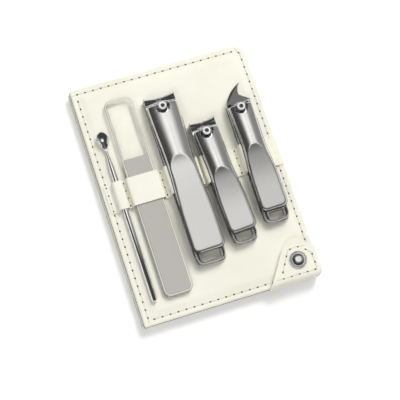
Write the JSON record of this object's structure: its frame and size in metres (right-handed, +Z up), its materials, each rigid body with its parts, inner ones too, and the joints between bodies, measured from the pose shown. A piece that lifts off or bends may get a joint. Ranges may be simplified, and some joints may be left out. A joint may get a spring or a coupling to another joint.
{
  "type": "manicure set case",
  "caption": "Folding leather manicure case lying open: clippers with lift-up levers, a glass nail file and an ear pick under one strap, and a corner tab with a press snap.",
  "frame": {"origin": "middle of the underside of the folded-back cover, on the table", "axes": "+X from the fold to the free edge, +Y from the foot of the case to its head, +Z up out of the tool side"},
  "size_m": [0.0824, 0.1133, 0.0163],
  "materials": {
    "cream_leather": "satin faux leather with a fine grain and cream stitching",
    "lining_leather": "smooth matte lining",
    "card": "pressed grey card",
    "wadding": "thin felted wadding",
    "mirror_chrome": "mirror polished",
    "satin_steel": "satin, brushed along the length",
    "file_glass": "clear bevelled edge with an etched grey filing face",
    "snap_steel": "polished press snap"
  },
  "bodies": {
    "tool_leaf": {"panel_back": "cream_leather", "panel_board": "card", "panel_foam": "wadding", "panel_face": "cream_leather", "tool_strap": "cream_leather", "tab_root": "cream_leather", "snap_stud": "snap_steel", "snap_rivet": "snap_steel"},
    "snap_tab": {"snap_tab": "cream_leather", "snap_cap": "snap_steel", "snap_socket": "snap_steel"},
    "spine_upper": {"spine_upper_strip": "cream_leather"},
    "spine_lower": {"spine_lower_strip": "cream_leather"},
    "cover": {"cover_skin": "cream_leather", "cover_board": "card", "cover_lining": "lining_leather"},
    "large_clipper": {"large_lower_arm": "mirror_chrome", "large_pin": "mirror_chrome", "large_rear_rivet": "mirror_chrome"},
    "large_upper_arm": {"large_upper_arm": "mirror_chrome"},
    "large_lever": {"large_lever": "satin_steel"},
    "small_clipper": {"small_lower_arm": "mirror_chrome", "small_pin": "mirror_chrome", "small_rear_rivet": "mirror_chrome"},
    "small_upper_arm": {"small_upper_arm": "mirror_chrome"},
    "small_lever": {"small_lever": "satin_steel"},
    "slanted_clipper": {"slanted_lower_arm": "mirror_chrome", "slanted_pin": "mirror_chrome", "slanted_rear_rivet": "mirror_chrome"},
    "slanted_upper_arm": {"slanted_upper_arm": "mirror_chrome"},
    "slanted_lever": {"slanted_lever": "satin_steel"},
    "glass_file": {"glass_file": "file_glass"},
    "ear_pick": {"ear_pick": "mirror_chrome"}
  },
  "joints": [
    {"name": "cover_fold", "type": "hinge", "parent": "tool_leaf", "child": "spine_upper", "pos_m": [-0.0418, 0, 0.0041], "axis": [0, 1, 0], "range_deg": [0, 270]},
    {"name": "spine_fold", "type": "hinge", "parent": "spine_upper", "child": "spine_lower", "pos_m": [-0.0338, 0, 0.00305], "axis": [0, 1, 0], "range_deg": [-180, 0]},
    {"name": "cover_turn", "type": "hinge", "parent": "spine_lower", "child": "cover", "pos_m": [-0.0406, 0, 0.002], "axis": [0, 1, 0], "range_deg": [0, 270]},
    {"name": "tab_open", "type": "hinge", "parent": "tool_leaf", "child": "snap_tab", "pos_m": [0.027, -0.0573, 0.00475], "axis": [1, 0, 0], "range_deg": [0, 170]},
    {"name": "large_slide_out", "type": "slide", "parent": "tool_leaf", "child": "large_clipper", "axis": [0, 1, 0], "range_m": [0, 0.052]},
    {"name": "large_lever_lift", "type": "hinge", "parent": "large_clipper", "child": "large_lever", "pos_m": [-0.005, 0.0364, 0.01455], "axis": [1, 0, 0], "range_deg": [-110, 0]},
    {"name": "large_squeeze", "type": "hinge", "parent": "large_clipper", "child": "large_upper_arm", "pos_m": [-0.005, -0.0288, 0.01165], "axis": [1, 0, 0], "range_deg": [-1.25, 0], "stiffness_Nm_per_rad": 2},
    {"name": "small_slide_out", "type": "slide", "parent": "tool_leaf", "child": "small_clipper", "axis": [-0.0419, 0.9991, 0], "range_m": [0, 0.046]},
    {"name": "small_lever_lift", "type": "hinge", "parent": "small_clipper", "child": "small_lever", "pos_m": [0.01015, 0.0198, 0.01455], "axis": [0.9991, 0.0419, 0], "range_deg": [-110, 0]},
    {"name": "small_squeeze", "type": "hinge", "parent": "small_clipper", "child": "small_upper_arm", "pos_m": [0.01201, -0.02446, 0.01165], "axis": [0.9991, 0.0419, 0], "range_deg": [-1.8, 0], "stiffness_Nm_per_rad": 2},
    {"name": "slanted_slide_out", "type": "slide", "parent": "tool_leaf", "child": "slanted_clipper", "axis": [0, 1, 0], "range_m": [0, 0.04]},
    {"name": "slanted_lever_lift", "type": "hinge", "parent": "slanted_clipper", "child": "slanted_lever", "pos_m": [0.0286, 0.0262, 0.01455], "axis": [1, 0, 0], "range_deg": [-110, 0]},
    {"name": "slanted_squeeze", "type": "hinge", "parent": "slanted_clipper", "child": "slanted_upper_arm", "pos_m": [0.0286, -0.0197, 0.01165], "axis": [1, 0, 0], "range_deg": [-1.5, 0], "stiffness_Nm_per_rad": 2},
    {"name": "file_slide_out", "type": "slide", "parent": "tool_leaf", "child": "glass_file", "axis": [0, 1, 0], "range_m": [0, 0.06]},
    {"name": "pick_slide_out", "type": "slide", "parent": "tool_leaf", "child": "ear_pick", "axis": [0, 1, 0], "range_m": [0, 0.06]}
  ],
  "couplings": [
    {"joint": "spine_fold", "follows": "cover_fold", "ratio": -0.66667},
    {"joint": "cover_turn", "follows": "cover_fold", "ratio": 1}
  ]
}
